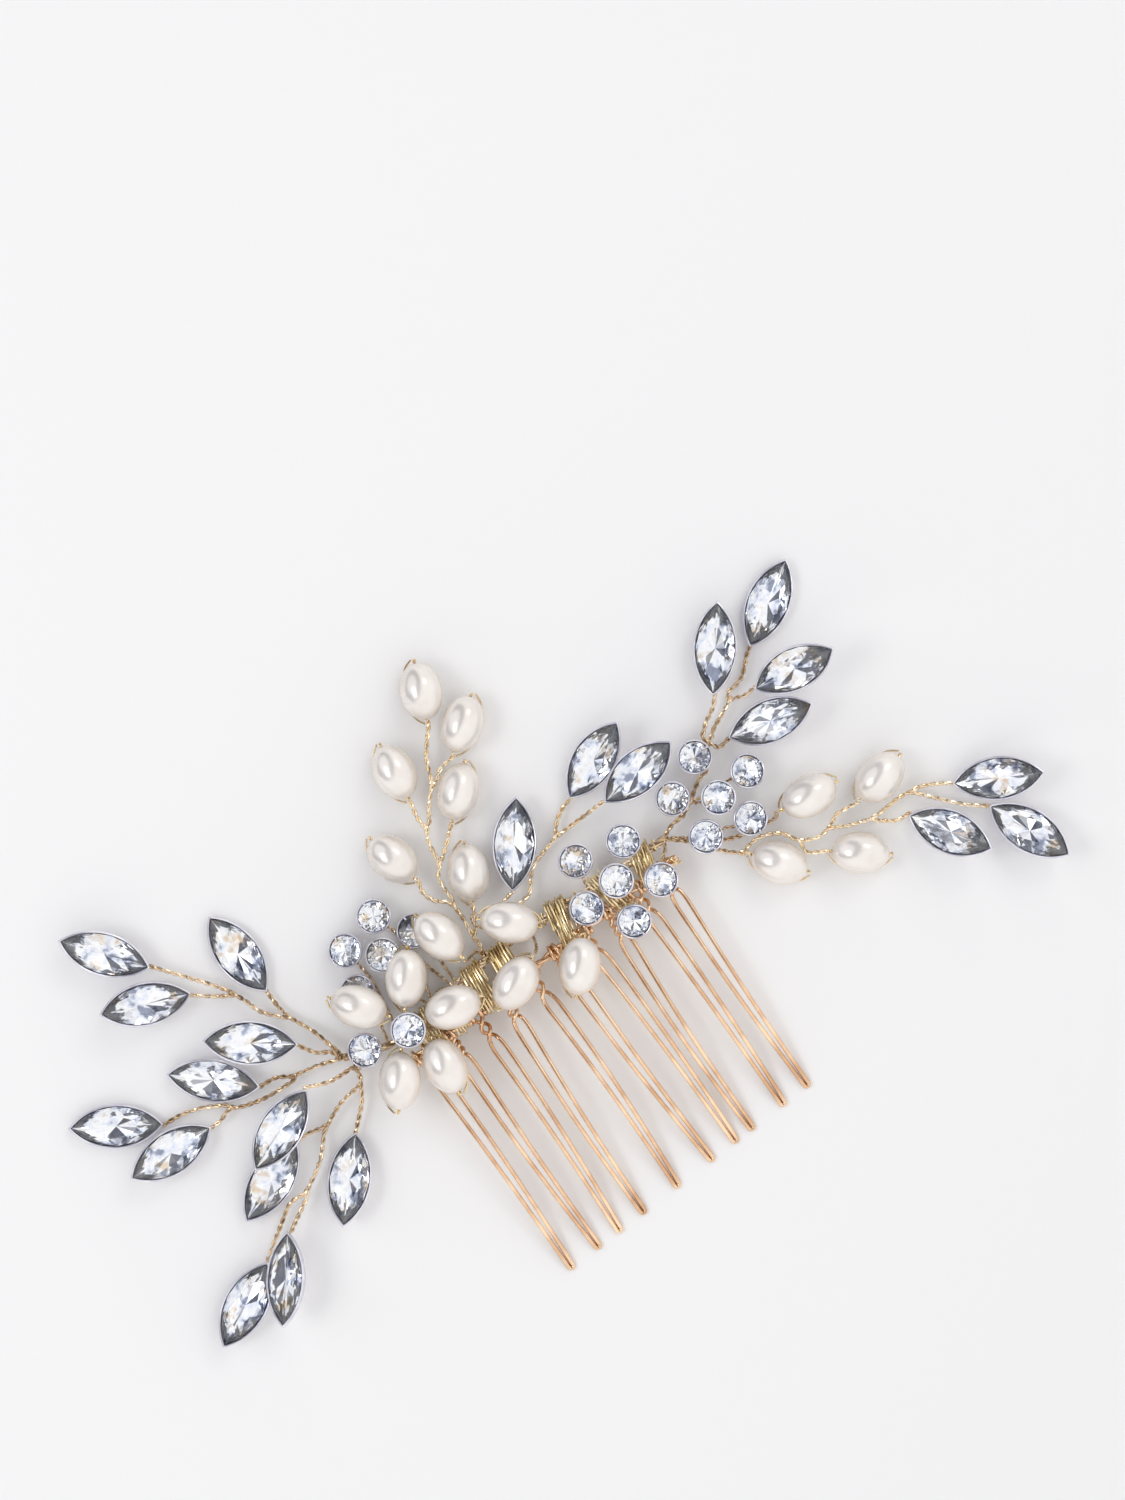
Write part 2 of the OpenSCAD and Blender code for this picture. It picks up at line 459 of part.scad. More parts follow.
comb_spine();
binding_wire();
vine_wires();
bead_wires(ROOT_PEARLS);
color(gold) {  // spray_d_wires
    translate(-middle) stems(D_WIRES);
    bead_wires(D_PEARLS);
}
for (k = [0:tooth_count - 1])
    comb_tooth(k);
for (c = [0:len(CLUSTERS) - 1]) {
    color(silver) translate(-middle) for (s = CLUSTERS[c]) set_round(s) round_setting();
    color(crystal) translate(-middle) for (s = CLUSTERS[c]) set_round(s) round_stone();
}
for (s = [0:len(SPRAY_NAMES) - 1]) {
    union() {
        color(gold) translate(-middle) stems(SPRAY_WIRES[s]);
        bead_wires(SPRAY_PEARLS[s]);
    }
    color(silver) translate(-middle) for (n = SPRAY_STONES[s]) set_navette(n) navette_setting();
    color(crystal) translate(-middle) for (n = SPRAY_STONES[s]) set_navette(n) navette_stone();
}
for (k = [0:len(PEARLS) - 1])
    color(pearl_white) translate(-middle) pearl(k);
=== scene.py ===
"""Decorative hair comb: the looks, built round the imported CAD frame. Lengths are in metres."""

import json
import math
import random

import bmesh
import bpy
from mathutils import Matrix, Vector


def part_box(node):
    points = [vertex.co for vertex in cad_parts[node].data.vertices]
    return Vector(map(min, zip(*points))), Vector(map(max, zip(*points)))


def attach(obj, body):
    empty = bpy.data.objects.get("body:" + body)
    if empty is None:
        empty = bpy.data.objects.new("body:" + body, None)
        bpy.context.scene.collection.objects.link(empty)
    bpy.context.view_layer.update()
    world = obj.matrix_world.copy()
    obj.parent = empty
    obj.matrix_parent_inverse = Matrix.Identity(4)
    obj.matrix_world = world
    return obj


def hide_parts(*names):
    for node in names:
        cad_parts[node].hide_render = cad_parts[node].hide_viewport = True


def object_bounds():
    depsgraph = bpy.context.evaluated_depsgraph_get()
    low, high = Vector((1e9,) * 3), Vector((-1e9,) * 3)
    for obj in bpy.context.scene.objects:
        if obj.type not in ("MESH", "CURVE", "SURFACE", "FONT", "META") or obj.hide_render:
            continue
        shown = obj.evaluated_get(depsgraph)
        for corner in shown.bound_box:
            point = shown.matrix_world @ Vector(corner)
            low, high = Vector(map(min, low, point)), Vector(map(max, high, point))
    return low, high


MM = 0.001
UP = Vector((0, 0, 1))

# The pieces that repeat, and which pearls hang on which spray; the rest hang on the comb
TEETH = range(1, 11)
SPRAYS = "abcdefg"
STONE_SPRAYS = "abcefg"
CLUSTERS = ("left_cluster", "middle_cluster", "right_cluster", "flower")
PEARLS = range(1, 20)
SPRAY_PEARLS = {"d": range(1, 7), "g": range(8, 11)}
COMB_PEARLS = (7, *range(11, 20))

# Reading the CAD: corners nearer than this are one corner, and faces that share an edge are one flat
# face where the product of their normals is over this
WELD = 0.002 * MM
FLAT = 0.99999
# Sides of a CAD wire: the teeth and the bundle with its branches, and all thinner ones
THICK_SIDES = 8
THIN_SIDES = 6
# Of the thin CAD wires, those under this radius are pearls' return wires and the others are stems
THINNEST_STEM = 0.25 * MM
# Points round a CAD tooth's tip, and closed rings in each CAD binding
TIP_POINTS = 5
RINGS = 3

# A wire's rounded end: its radius as a share of the wire's, and its length in radii
CAP_SHARE = 0.55
CAP_RUN = 0.6
# A line whose direction has more than this of Z starts with its side direction along X instead of Z
STEEP = 0.8

# Twisted pairs: a strand's radius, the length of one turn, the spacing of its points, and how far out
# its middle lies as a share of its radius
STRAND_R = 0.2 * MM
PAIR_PITCH = 2.6 * MM
PAIR_STEP = 0.26 * MM
PAIR_SNUG = 0.96
STALK_STRAND_R = 0.15 * MM
STALK_PITCH = 2 * MM
# The bundle: four strands, how far out they lie, and the length of one turn
BUNDLE_STRANDS = 4
BUNDLE_STRAND_R = 0.29 * MM
BUNDLE_REACH = 0.36 * MM
BUNDLE_PITCH = 9 * MM

# How near its joint a spray's first stem starts, and how far upstream a side stem leaves its parent
ROOT_REACH = 2.6 * MM
FORK_RUN = 1.5 * MM
# A stem's parent passes at least this much nearer the root, and its end runs this far into what it holds
PARENT_LEAD = 0.3 * MM
HELD_RUN = 0.5 * MM

# Teeth: wire radius, turns in the neck of an even and an odd tooth, and points along the neck
TOOTH_R = 0.33 * MM
NECK_TURNS = (1.5, 1.0)
NECK_STEPS = 24
# Each end of a tooth's wire on the spine: turns, sideways drift, and points along it
WRAP_TURNS = 1.15
WRAP_DRIFT = 0.75 * MM
WRAP_STEPS = 15

# The spine's two wires: gap at each end, length of one turn, and how far out they lie
SPINE_GAP = 0.5 * MM
SPINE_PITCH = 9 * MM
SPINE_SNUG = 0.97
# How much of each end of the spine is wound with wire, how far above it, and the length of one turn
SPINE_END = 2.4 * MM
SPINE_LIFT = 0.15 * MM
SPINE_COIL_PITCH = 0.36 * MM

# Binding wire: its radius round the spine and bundle and in finer coils, turns in a binding, points in
# a turn, points between changes of tightness, tightest share, and a binding's width
BINDING_R = 0.19 * MM
FINE_R = 0.17 * MM
BINDING_TURNS = 6.5
TURN_POINTS = 20
SQUEEZE_POINTS = 10
TIGHTEST = 0.86
BINDING_WIDTH = 3.3 * MM
# Coils round the bundle alone: radius, length of one turn, and where: start, end (0 to 1), looseness
BOUND_REACH = 0.86 * MM
BOUND_PITCH = 0.62 * MM
BOUND = [(0.30, 0.52, 0.35), (0.60, 0.74, 0.25), (0.82, 0.99, 0.12)]
# A loose coil's radius swings by half its looseness, this fast and from this phase, and each of its
# points is off by up to its looseness times this many millimetres
SWING_RATE = 1.7
SWING_PHASE = 2
LOOSE_REACH = 0.3
# The coil at each spray's root: wire, radius and length of one turn, its run, and the share past the root
ROOT_WIRE_R = 0.15 * MM
ROOT_COIL_REACH = 0.5 * MM
ROOT_COIL_PITCH = 0.42 * MM
ROOT_COIL_RUN = 0.7 * MM
PAST_ROOT = 0.3
# A spray's root needs a link to the bundle when it lies further off than this; the link sags by this much
LINK_OVER = 0.9 * MM
LINK_SAG = 0.15 * MM

# The cut of the stones and settings, as in the CAD solids
NAVETTE_HALF = (7.5 * MM, 3.5 * MM)
NAVETTE_GIRDLE_Z = 1.4 * MM
NAVETTE_DEPTH = 0.85 * MM
ROUND_R = 2.8 * MM
ROUND_GIRDLE_Z = 1.2 * MM
ROUND_DEPTH = 0.7 * MM
OUTLINE_POINTS = 40
# CAD facets that meet at less than this are one facet
FACET_ANGLE = math.radians(0.5)
# A round setting's claw, from the cup's wall to the stone: radius and height in millimetres
CLAWS = 4
CLAW = [(2.58, 0.7), (2.6, 1.2), (2.55, 1.56), (2.36, 1.72), (2.2, 1.74)]
CLAW_R = 0.17 * MM

# Pearls: sides, rings along one, and how much of the CAD pearl's half length and radius it fills
PEARL_SIDES = 56
PEARL_RINGS = 40
PEARL_FILL = (0.995, 0.998)
# The hole's edge from inside out: share of the half length, and share of the hole's radius
BORE_EDGE = [(0.5, 1.0), (0.94, 1.0), (0.975, 1.08)]
# Where the rounded surface starts, as a share of the hole's radius
BORE_LIP = 1.25
# The wires through a pearl: radius, how far out they lie, length of one turn, and reach past each end
RETURN_R = 0.17 * MM
THREAD_REACH = 0.165 * MM
THREAD_PITCH = 1.8 * MM
THREAD_PAST = 0.62 * MM
# Points along them, from one end (-1) to the other (1)
THREAD_STOPS = (-1, -0.6, 0, 0.6, 0.98)

# Name, direction in degrees from +X, height and width in metres, and power in watts of each softbox,
# and for all of them how far off they stand and their height as a share of their width
SOFTBOXES = [("key", 150, 0.62, 0.34, 0.95), ("side", 20, 0.45, 0.16, 0.2)]
SOFTBOX_REACH = 0.45
SOFTBOX_ASPECT = 0.8
# Turn of the sky whose dark side gives the stones and wires their dark bands
SKY_TURN = (math.radians(52), 0, math.radians(-150))
SKY_STRENGTH = 1.21
# The floor's side in metres, and how far it lies below the comb
FLOOR_SIZE = 4
FLOOR_GAP = 0.05 * MM
# The camera's turn, the point below it, and the height and level of what it frames
CAMERA_TURN = math.radians(37.7)
CAMERA_OVER = (20.8 * MM, 19.9 * MM)
FRAME_HEIGHT = 234.4 * MM
FRAME_LEVEL = 4 * MM

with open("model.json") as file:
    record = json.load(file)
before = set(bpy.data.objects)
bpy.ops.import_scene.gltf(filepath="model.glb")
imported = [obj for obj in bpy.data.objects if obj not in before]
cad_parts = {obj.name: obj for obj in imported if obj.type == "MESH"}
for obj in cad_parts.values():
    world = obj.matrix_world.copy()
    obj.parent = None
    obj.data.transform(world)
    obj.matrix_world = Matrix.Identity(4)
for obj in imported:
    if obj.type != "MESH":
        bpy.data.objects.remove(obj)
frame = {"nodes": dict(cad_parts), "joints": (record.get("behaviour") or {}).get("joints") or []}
cad_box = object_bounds()
scene = bpy.context.scene
nodes = frame["nodes"]
joints = {j["child"]: j for j in frame["joints"]}


# ---------------------------------------------------------------- materials
def new_material(name, colour, metallic, roughness):
    """A material with one Principled shader: the material, its node tree and the shader."""
    material = bpy.data.materials.new(name)
    material.use_nodes = True
    tree = material.node_tree
    shader = tree.nodes["Principled BSDF"]
    shader.inputs["Base Color"].default_value = (*colour, 1)
    shader.inputs["Metallic"].default_value = metallic
    shader.inputs["Roughness"].default_value = roughness
    return material, tree, shader


def noise(tree, scale, detail):
    """Noise in the part's own coordinates, which are metres, so a scale of 1000 gives features of 1 mm."""
    place = tree.nodes.new("ShaderNodeTexCoord")
    texture = tree.nodes.new("ShaderNodeTexNoise")
    texture.inputs["Scale"].default_value = scale
    texture.inputs["Detail"].default_value = detail
    tree.links.new(place.outputs["Object"], texture.inputs["Vector"])
    return texture


def ramp(tree, source, stops):
    """A colour ramp that the source drives."""
    node = tree.nodes.new("ShaderNodeValToRGB")
    while len(node.color_ramp.elements) < len(stops):
        node.color_ramp.elements.new(0.5)
    for element, (position, colour) in zip(node.color_ramp.elements, stops):
        element.position = position
        element.color = (*colour, 1)
    tree.links.new(source, node.inputs["Fac"])
    return node


def mottle(tree, shader, scale, detail, stops):
    """A base colour that drifts between the stops over the surface."""
    colour = ramp(tree, noise(tree, scale, detail).outputs["Fac"], stops)
    tree.links.new(colour.outputs["Color"], shader.inputs["Base Color"])


def marks(tree, shader, scale, detail, height, strength):
    """Fine marks that break up the shine."""
    node = tree.nodes.new("ShaderNodeBump")
    node.inputs["Distance"].default_value = height
    node.inputs["Strength"].default_value = strength
    tree.links.new(noise(tree, scale, detail).outputs["Fac"], node.inputs["Height"])
    tree.links.new(node.outputs["Normal"], shader.inputs["Normal"])


def wire_material(name, dark, light, roughness):
    """Drawn wire: colour drifts along it, and fine draw marks break up the shine."""
    material, tree, shader = new_material(name, light, metallic=1.0, roughness=roughness)
    mottle(tree, shader, scale=180, detail=3, stops=[(0.35, dark), (0.65, light)])
    polish = noise(tree, scale=900, detail=5)
    rough = tree.nodes.new("ShaderNodeMapRange")
    rough.inputs["To Min"].default_value = roughness * 0.7
    rough.inputs["To Max"].default_value = roughness * 1.5
    tree.links.new(polish.outputs["Fac"], rough.inputs["Value"])
    tree.links.new(rough.outputs["Result"], shader.inputs["Roughness"])
    marks(tree, shader, scale=4500, detail=2, height=0.012 * MM, strength=0.5)
    return material


def pearl_material():
    """Imitation pearl: cloudy ivory nacre under a clear gloss, with a painted sheen: the base colour turns
    warmer at a grazing angle.
    """
    material, tree, shader = new_material("pearl_nacre", (0.80, 0.75, 0.68), metallic=0.3, roughness=0.26)
    clouds = noise(tree, scale=260, detail=4)
    body = ramp(tree, clouds.outputs["Fac"], [(0.3, (0.80, 0.74, 0.68)), (0.7, (0.91, 0.86, 0.81))])
    # Painted sheen: the base colour is tinted warmer where the surface turns away from the view
    facing = tree.nodes.new("ShaderNodeLayerWeight")
    facing.inputs["Blend"].default_value = 0.35
    painted_sheen_tint = ramp(tree, facing.outputs["Facing"], [(0.40, (1.0, 1.0, 1.0)), (0.80, (0.97, 0.86, 0.70))])
    mix = tree.nodes.new("ShaderNodeMix")
    mix.data_type = "RGBA"
    mix.blend_type = "MULTIPLY"
    # Mixing colours, input 0 is the factor, inputs 6 and 7 are the colours, and output 2 is the result
    mix.inputs[0].default_value = 1.0
    tree.links.new(body.outputs["Color"], mix.inputs[6])
    tree.links.new(painted_sheen_tint.outputs["Color"], mix.inputs[7])
    tree.links.new(mix.outputs[2], shader.inputs["Base Color"])
    shader.inputs["IOR"].default_value = 1.7
    shader.inputs["Coat Weight"].default_value = 0.7
    shader.inputs["Coat Roughness"].default_value = 0.07
    shader.inputs["Coat IOR"].default_value = 1.6
    marks(tree, shader, scale=1500, detail=3, height=0.02 * MM, strength=0.4)
    return material


def crystal_material():
    """Clear cut glass, a little cool."""
    material, _, shader = new_material("crystal_glass", (0.97, 0.98, 1.0), metallic=0.0, roughness=0.0)
    shader.inputs["Transmission Weight"].default_value = 1.0
    shader.inputs["IOR"].default_value = 1.5
    return material


def foil_material():
    """The mirror foil on a stone's back: silver, with cool and warm patches, and slate patches that are
    painted dark reflections.
    """
    material, tree, shader = new_material("crystal_foil", (0.95, 0.95, 0.97), metallic=0.86, roughness=0.03)
    # The dark slate stop paints dark facet reflections into the foil's colour; the other stops are its cool,
    # white and warm tones
    mottle(tree, shader, scale=420, detail=2,
           stops=[(0.34, (0.30, 0.33, 0.42)), (0.41, (0.82, 0.86, 0.95)), (0.5, (1.0, 1.0, 1.0)),
                  (0.60, (0.98, 0.98, 0.98)), (0.70, (0.80, 0.66, 0.50))])
    return material


def setting_material():
    """Bright plated cup metal with a lavender cast and darker patches."""
    material, tree, shader = new_material("setting_metal", (0.78, 0.77, 0.84), metallic=0.9, roughness=0.28)
    mottle(tree, shader, scale=500, detail=4,
           stops=[(0.35, (0.66, 0.65, 0.74)), (0.65, (0.86, 0.85, 0.91))])
    marks(tree, shader, scale=3000, detail=2, height=0.015 * MM, strength=0.4)
    return material


ROSE_GOLD = wire_material("rose_gold_wire", (0.66, 0.40, 0.23), (0.96, 0.71, 0.48), roughness=0.14)
PALE_GOLD = wire_material("pale_gold_wire", (0.78, 0.60, 0.38), (0.93, 0.80, 0.60), roughness=0.2)
BROWN_GOLD = wire_material("brown_gold_wire", (0.50, 0.36, 0.22), (0.86, 0.70, 0.51), roughness=0.18)
YELLOW_GOLD = wire_material("yellow_gold_wire", (0.68, 0.52, 0.27), (0.95, 0.81, 0.53), roughness=0.16)
NACRE = pearl_material()
CRYSTAL = crystal_material()
FOIL = foil_material()
SETTING = setting_material()
SPRAY_GOLD = {"a": BROWN_GOLD, "b": BROWN_GOLD, "c": BROWN_GOLD, "d": PALE_GOLD, "e": PALE_GOLD,
              "f": BROWN_GOLD, "g": PALE_GOLD}


# ---------------------------------------------------------------- curves and tubes
def smooth(points, spacing):
    """A smooth curve through the points (Catmull-Rom), with a point about every `spacing`."""
    curve = []
    last = len(points) - 1
    for i in range(last):
        a, b = points[max(i - 1, 0)], points[i]
        c, d = points[i + 1], points[min(i + 2, last)]
        steps = max(1, round((c - b).length / spacing))
        for s in range(steps):
            t = s / steps
            curve.append(0.5 * (2 * b + (c - a) * t + (2 * a - 5 * b + 4 * c - d) * t * t
                                + (3 * b - a - 3 * c + d) * t ** 3))
    curve.append(points[last].copy())
    return curve


def frames(points):
    """A tangent and two side directions at each point, carried along without twist."""
    last = len(points) - 1
    result = []
    side = None
    for i in range(last + 1):
        tangent = (points[min(i + 1, last)] - points[max(i - 1, 0)]).normalized()
        if side is None:
            steep = abs(tangent.z) >= STEEP
            side = Vector((1, 0, 0)) if steep else UP
        side = (side - side.dot(tangent) * tangent).normalized()
        result.append((tangent, side, tangent.cross(side)))
    return result


def lengths(points):
    """How far along the line each point lies."""
    total = [0.0]
    for a, b in zip(points, points[1:]):
        total.append(total[-1] + (b - a).length)
    return total


class Shape:
    """A mesh in the making: tubes and other skins are added to it, then it becomes one object."""

    def __init__(self, bm=None):
        self.bm = bmesh.new() if bm is None else bm

    def skin(self, rings, closed_ends=True, loop=False):
        """Join rings of points into a surface, and return the rings' corners."""
        made = [[self.bm.verts.new(p) for p in ring] for ring in rings]
        count = len(made[0])
        pairs = list(zip(made, made[1:]))
        if loop:
            pairs.append((made[-1], made[0]))
        for low, high in pairs:
            for k in range(count):
                n = (k + 1) % count
                self.bm.faces.new((low[k], low[n], high[n], high[k]))
        if closed_ends and not loop:
            self.bm.faces.new(list(reversed(made[0])))
            self.bm.faces.new(made[-1])
        return made

    def tube(self, points, radius, sides=10):
        """A round wire with softly rounded ends."""
        basis = frames(points)
        rings = []
        for p, (_, u, v) in zip(points, basis):
            rings.append([p + radius * (math.cos(a) * u + math.sin(a) * v)
                          for a in (2 * math.pi * k / sides for k in range(sides))])
        for end, sign in ((0, -1), (-1, 1)):
            tangent = basis[end][0]
            ahead = sign * tangent * radius * CAP_RUN
            cap = [points[end] + (q - points[end]) * CAP_SHARE + ahead for q in rings[end]]
            rings = [cap] + rings if end == 0 else rings + [cap]
        self.skin(rings)

    def strands(self, points, radius, offset, pitch, count=2, phase=0.0, sides=8):
        """Wires twisted together about one centreline."""
        run = lengths(points)
        basis = frames(points)
        for n in range(count):
            start = phase + 2 * math.pi * n / count
            line = []
            for p, s, (_, u, v) in zip(points, run, basis):
                a = start + 2 * math.pi * s / pitch
                line.append(p + offset * (math.cos(a) * u + math.sin(a) * v))
            self.tube(line, radius, sides)

    def finish(self, name, materials, body, replaced, smooth_angle=40):
        """Turn it into the named object that rides on the body and stands for the replaced CAD nodes."""
        bmesh.ops.recalc_face_normals(self.bm, faces=self.bm.faces)
        mesh = bpy.data.meshes.new(name)
        self.bm.to_mesh(mesh)
        self.bm.free()
        for material in materials:
            mesh.materials.append(material)
        piece = bpy.data.objects.new(name, mesh)
        scene.collection.objects.link(piece)
        if smooth_angle:
            mesh.shade_smooth()
            mesh.set_sharp_from_angle(angle=math.radians(smooth_angle))
        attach(piece, body)
        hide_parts(*replaced)


# ---------------------------------------------------------------- reading the CAD frame
def spread(start, neighbours):
    """Everything that can be reached from `start` by way of neighbours."""
    found, waiting = {start}, [start]
    while waiting:
        for other in neighbours(waiting.pop()):
            if other not in found:
                found.add(other)
                waiting.append(other)
    return found


def solids(node):
    """The node's separate solids: each one's corners, their neighbours, and its flat faces.

    Corners and faces are taken in order of index, so the result is the same on every run.
    """
    bm = bmesh.new()
    bm.from_mesh(nodes[node].data)
    bmesh.ops.remove_doubles(bm, verts=bm.verts, dist=WELD)
    bm.verts.index_update()
    bm.faces.index_update()
    bm.normal_update()
    found = []
    left = dict.fromkeys(bm.verts)
    while left:
        group = spread(next(iter(left)), lambda v: [e.other_vert(v) for e in v.link_edges])
        group = sorted(group, key=lambda v: v.index)
        for v in group:
            del left[v]
        places = {v.index: v.co.copy() for v in group}
        near = {v.index: [e.other_vert(v).index for e in v.link_edges] for v in group}
        flats = []
        faces = dict.fromkeys(f for v in group for f in v.link_faces)
        while faces:
            flat = spread(next(iter(faces)), lambda f: [g for e in f.edges for g in e.link_faces
                                                        if g.normal.dot(f.normal) > FLAT])
            flat = sorted(flat, key=lambda f: f.index)
            for f in flat:
                faces.pop(f, None)
            biggest = max(flat, key=lambda f: f.calc_area())
            flats.append((biggest.normal.copy(), sum(f.calc_area() for f in flat),
                          {v.index for f in flat for v in f.verts}))
        found.append((places, near, flats))
    bm.free()
    return found


def centreline(solid, sides):
    """A swept wire's middle line and radius: its rings are walked from one end face to the other.

    None where the solid has no round end face with that many sides.
    """
    places, near, flats = solid
    for _, _, corners in flats:
        if len(corners) != sides:
            continue
        middle = sum((places[c] for c in corners), Vector()) / sides
        reach = [(places[c] - middle).length for c in corners]
        if max(reach) - min(reach) < WELD:
            break
    else:
        return None
    line = []
    ring = set(corners)
    seen = set(ring)
    while ring:
        if len(ring) == sides:
            line.append(sum((places[c] for c in ring), Vector()) / sides)
        ring = {n for c in ring for n in near[c]} - seen
        seen |= ring
    return line, max(reach)


def wires(node, sides):
    """(middle line, radius) of every swept wire in a node, in order of where its line starts."""
    found = [w for w in (centreline(solid, sides) for solid in solids(node)) if w]
    return sorted(found, key=lambda w: tuple(round(c, 5) for c in w[0][0]))


def stone_places(node, depth, girdle_z):
    """Where each stone's setting stands: a matrix whose Z is the stone's axis and whose X is its length."""
    found = []
    for places, _, flats in solids(node):
        axis = max(flats, key=lambda flat: flat[1])[0].normalized()
        culet = min(places.values(), key=lambda p: p.dot(axis))
        base = culet - axis * (girdle_z - depth)

        def across(p):
            return p - culet - (p - culet).dot(axis) * axis

        x = across(max(places.values(), key=lambda p: across(p).length)).normalized()
        turn = Matrix((x, axis.cross(x), axis)).transposed().to_4x4()
        found.append(Matrix.Translation(base) @ turn)
    return found


# ---------------------------------------------------------------- teeth and spine
def tooth(k):
    """A hairpin of round wire: its ends wrap the spine, then twist together into the neck."""
    node = f"comb_tooth_{k:02d}"
    line, _ = wires(node, THICK_SIDES)[0]
    half = (len(line) - TIP_POINTS) // 2
    left, tip, right = line[:half], line[half:-half], line[:-half - 1:-1]
    top, low = (left[0] + right[0]) / 2, (left[2] + right[2]) / 2
    out = (left[2] - right[2]) / 2
    lift = out.cross(low - top).normalized() * out.length
    necks = [[], []]
    for s in range(NECK_STEPS):
        a = 2 * math.pi * NECK_TURNS[k % 2] * (1 - s / NECK_STEPS)
        for neck, sign in zip(necks, (1, -1)):
            neck.append(top.lerp(low, s / NECK_STEPS) + sign * (math.cos(a) * out + math.sin(a) * lift))
    ends = [spine_wrap(neck[0], sign) for neck, sign in zip(necks, (-1, 1))]
    shape = Shape()
    path = smooth(left[2:] + tip + right[:1:-1], spacing=0.8 * MM)
    shape.tube(ends[0] + necks[0] + path + necks[1][::-1] + ends[1][::-1], TOOTH_R, sides=14)
    shape.finish(f"tooth_{k:02d}", [ROSE_GOLD], "comb", [node])


def spine_axis():
    """The spine's height in Y and Z, and its radius."""
    low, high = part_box("comb_spine")
    return (low.y + high.y) / 2, (low.z + high.z) / 2, (high.z - low.z) / 2


def spine_wrap(start, sign):
    """A wire's end wound a little over once round the spine, coming down to `start`."""
    y, z, r = spine_axis()
    reach = r + TOOTH_R
    points = []
    for n in range(WRAP_STEPS, -1, -1):
        a = math.pi - 2 * math.pi * WRAP_TURNS * n / WRAP_STEPS
        drift = sign * WRAP_DRIFT * n / WRAP_STEPS
        points.append(Vector((start.x + drift, y + reach * math.cos(a), z + reach * math.sin(a))))
    return points


def spine():
    """The spine: two wires twisted slowly about each other."""
    low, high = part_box("comb_spine")
    y, z, r = spine_axis()
    line = [Vector((x, y, z)) for x in (low.x + SPINE_GAP, (low.x + high.x) / 2, high.x - SPINE_GAP)]
    shape = Shape()
    shape.strands(smooth(line, spacing=0.5 * MM), r / 2, r / 2 * SPINE_SNUG, SPINE_PITCH, sides=12)
    shape.finish("spine_wires", [ROSE_GOLD], "comb", ["comb_spine"])


# ---------------------------------------------------------------- twisted stems
def nearest(point, lines):
    """The point of the lines that is nearest to the given one."""
    return min((q for line in lines for q in line), key=lambda q: (q - point).length)


def outward(line, origin):
    """The line, turned so that it starts at whichever of its ends is nearer to `origin`, a list of points."""
    first, last = (min((q - end).length for q in origin) for end in (line[0], line[-1]))
    return line if first <= last else line[::-1]


def joined(line, others, root=None):
    """The line carried back to what it grows from, and on into what it holds.

    Without a root it starts on the nearest of the other lines. With one, a line that begins far from it
    starts on a line that passes nearer to it, and a line that begins near it starts there, or half way
    there where that step is steep.
    """
    first = line[0]
    upstream = first - (line[1] - first).normalized() * FORK_RUN
    start = root
    if root is None:
        start = nearest(upstream, others)
    elif (first - root).length > ROOT_REACH:
        limit = (first - root).length - PARENT_LEAD
        start = nearest(upstream, [[q for q in other if (q - root).length < limit] for other in others])
    elif abs(first.z - root.z) > (first - root).to_2d().length:
        start = root.lerp(first, 0.5)
    end = line[-1] + (line[-1] - line[-2]).normalized() * HELD_RUN
    return [start] + line + [end]


def stem(shape, line, phase, radius=STRAND_R, pitch=PAIR_PITCH):
    """A twisted pair of wires along the line."""
    shape.strands(smooth(line, PAIR_STEP), radius, radius * PAIR_SNUG, pitch, phase=phase)


def coil(shape, line, reach, pitch, wire_r, rng, loose=0.0):
    """A wire wound round a line; where it is loose, its radius wanders and each point is a little off."""
    dense = smooth(line, spacing=0.12 * MM)
    points = []
    for p, s, (_, u, v) in zip(dense, lengths(dense), frames(dense)):
        a = 2 * math.pi * s / pitch
        swing = 1 + loose * math.sin(SWING_RATE * a + SWING_PHASE) * 0.5
        r = reach * swing + loose * LOOSE_REACH * MM * rng.random()
        points.append(p + r * (math.cos(a) * u + math.sin(a) * v))
    shape.tube(smooth(points[::3], spacing=0.2 * MM), wire_r, sides=7)


def pearl_measures(k):
    """A pearl's middle, the axis of its hole, and its corners seen from its middle."""
    joint = joints[f"pearl_{k:02d}"]
    centre = Vector(joint["pos_m"])
    corners = [v.co - centre for v in nodes[f"pearl_{k:02d}"].data.vertices]
    return centre, Vector(joint["axis"]).normalized(), corners


def thread(shape, k):
    """The twisted pair of wires that runs through a pearl's hole and a little past both its ends."""
    centre, axis, corners = pearl_measures(k)
    reach = max(abs(p.dot(axis)) for p in corners) + THREAD_PAST
    pair = [centre + axis * reach * t for t in THREAD_STOPS]
    shape.strands(smooth(pair, spacing=0.3 * MM), RETURN_R, THREAD_REACH, THREAD_PITCH, phase=k)


def return_wires(shape, node):
    """The wires that run back along the outside of the pearls, taken from the node."""
    for line, radius in wires(node, THIN_SIDES):
        if radius < THINNEST_STEM:
            shape.tube(smooth([line[0]] + line + [line[-1]], spacing=0.4 * MM), RETURN_R, sides=8)


def spray_wires(letter):
    """A spray's stems, and the wires of the pearls that hang on it."""
    node = f"spray_{letter}_wires"
    shape = Shape()
    root = Vector(joints[f"spray_{letter}"]["pos_m"])
    stems = [outward(line, [root]) for line, radius in wires(node, THIN_SIDES) if radius > THINNEST_STEM]
    for n, line in enumerate(stems):
        others = [smooth(other, spacing=0.3 * MM) for other in stems if other is not line]
        stem(shape, joined(line, others or [[root]], root), n)
    return_wires(shape, node)
    for k in SPRAY_PEARLS.get(letter, ()):
        thread(shape, k)
    shape.finish(f"stems_{letter}", [SPRAY_GOLD[letter]], f"spray_{letter}", [node])


